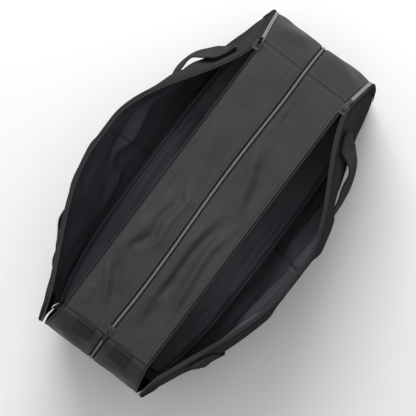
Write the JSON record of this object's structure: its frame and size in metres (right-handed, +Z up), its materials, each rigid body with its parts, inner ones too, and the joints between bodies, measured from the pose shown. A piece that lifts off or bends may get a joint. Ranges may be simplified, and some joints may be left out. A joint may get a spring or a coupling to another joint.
{
  "type": "skate bag",
  "caption": "Soft bag with three long compartments under parallel zips, open side panels that lean outwards, two webbing tabs and two carrying handles.",
  "frame": {"origin": "middle of the base, on the floor it stands on", "axes": "+X to the far end of the bag, +Y to its left side, +Z up"},
  "size_m": [0.473, 0.2965, 0.3018],
  "materials": {
    "shell_cloth": "black polyester twill, soft sheen",
    "lining": "black nylon lining",
    "stiffener": "flat plastic board",
    "binding": "folded hem tape",
    "webbing": "matte black webbing",
    "zip_tape": "woven zip tape",
    "zip_coil": "nylon coil",
    "zip_metal": "dark painted metal"
  },
  "bodies": {
    "root": {"base_panel": "shell_cloth", "base_board": "stiffener", "base_lining": "lining", "zip_end_stops": "zip_metal", "left_divider": "lining", "left_top_panel": "shell_cloth", "left_near_end_panel": "shell_cloth", "left_far_end_panel": "shell_cloth", "left_centre_tape": "zip_tape", "left_centre_coil": "zip_coil", "left_band_tape": "zip_tape", "left_band_coil": "zip_coil", "left_webbing_tab": "webbing", "right_divider": "lining", "right_top_panel": "shell_cloth", "right_near_end_panel": "shell_cloth", "right_far_end_panel": "shell_cloth", "right_centre_tape": "zip_tape", "right_centre_coil": "zip_coil", "right_band_tape": "zip_tape", "right_band_coil": "zip_coil", "right_webbing_tab": "webbing"},
    "left_flap": {"left_side_panel": "shell_cloth", "left_rim_hem": "binding", "left_rim_tape": "zip_tape", "left_rim_coil": "zip_coil"},
    "left_handle_base": {"left_handle_anchors": "webbing"},
    "left_handle": {"left_handle": "webbing"},
    "left_slider": {"left_slider": "zip_metal"},
    "left_pull": {"left_pull": "zip_metal"},
    "right_flap": {"right_side_panel": "shell_cloth", "right_rim_hem": "binding", "right_rim_tape": "zip_tape", "right_rim_coil": "zip_coil"},
    "right_handle_base": {"right_handle_anchors": "webbing"},
    "right_handle": {"right_handle": "webbing"},
    "right_slider": {"right_slider": "zip_metal"},
    "right_pull": {"right_pull": "zip_metal"},
    "centre_slider": {"centre_slider": "zip_metal"},
    "centre_pull": {"centre_pull": "zip_metal"}
  },
  "joints": [
    {"name": "left_zip_travel", "type": "slide", "parent": "root", "child": "left_slider", "axis": [-1, 0, 0], "range_m": [0, 0.372]},
    {"name": "left_flap_close", "type": "hinge", "parent": "root", "child": "left_flap", "pos_m": [0, 0.103, 0], "axis": [1, 0, 0], "range_deg": [0, 16.42], "deforming": ["left_side_panel", "left_rim_hem", "left_rim_tape", "left_rim_coil"]},
    {"name": "left_handle_base_turn", "type": "hinge", "parent": "root", "child": "left_handle_base", "pos_m": [0, 0.103, 0], "axis": [1, 0, 0], "range_deg": [0, 4.1]},
    {"name": "left_handle_swing", "type": "hinge", "parent": "left_handle_base", "child": "left_handle", "pos_m": [0.0002, 0.10673, 0.27464], "axis": [0.9977, -0.0675, 0.0001], "range_deg": [0, 150]},
    {"name": "right_zip_travel", "type": "slide", "parent": "root", "child": "right_slider", "axis": [-1, 0, 0], "range_m": [0, 0.372]},
    {"name": "right_flap_close", "type": "hinge", "parent": "root", "child": "right_flap", "pos_m": [0, -0.103, 0], "axis": [-1, 0, 0], "range_deg": [0, 14.2], "deforming": ["right_side_panel", "right_rim_hem", "right_rim_tape", "right_rim_coil"]},
    {"name": "right_handle_base_turn", "type": "hinge", "parent": "root", "child": "right_handle_base", "pos_m": [0, -0.103, 0], "axis": [-1, 0, 0], "range_deg": [0, 3.55]},
    {"name": "right_handle_swing", "type": "hinge", "parent": "right_handle_base", "child": "right_handle", "pos_m": [0.00018, -0.10361, 0.2747], "axis": [-0.9983, -0.0584, 0.0006], "range_deg": [0, 150]},
    {"name": "left_pull_swing", "type": "hinge", "parent": "left_slider", "child": "left_pull", "pos_m": [0.187, 0.063, 0.28965], "axis": [0, -1, 0], "range_deg": [-62, 118]},
    {"name": "right_pull_swing", "type": "hinge", "parent": "right_slider", "child": "right_pull", "pos_m": [0.187, -0.063, 0.28965], "axis": [0, -1, 0], "range_deg": [0, 160]},
    {"name": "centre_zip_travel", "type": "slide", "parent": "root", "child": "centre_slider", "axis": [1, 0, 0], "range_m": [0, 0.372]},
    {"name": "centre_pull_swing", "type": "hinge", "parent": "centre_slider", "child": "centre_pull", "pos_m": [-0.186, 0, 0.28965], "axis": [0, 1, 0], "range_deg": [0, 160]}
  ],
  "couplings": [
    {"joint": "left_flap_close", "follows": "left_zip_travel", "rad_per_m": 0.77009},
    {"joint": "left_handle_base_turn", "follows": "left_zip_travel", "rad_per_m": 0.19252},
    {"joint": "right_flap_close", "follows": "right_zip_travel", "rad_per_m": 0.66611},
    {"joint": "right_handle_base_turn", "follows": "right_zip_travel", "rad_per_m": 0.16653}
  ]
}
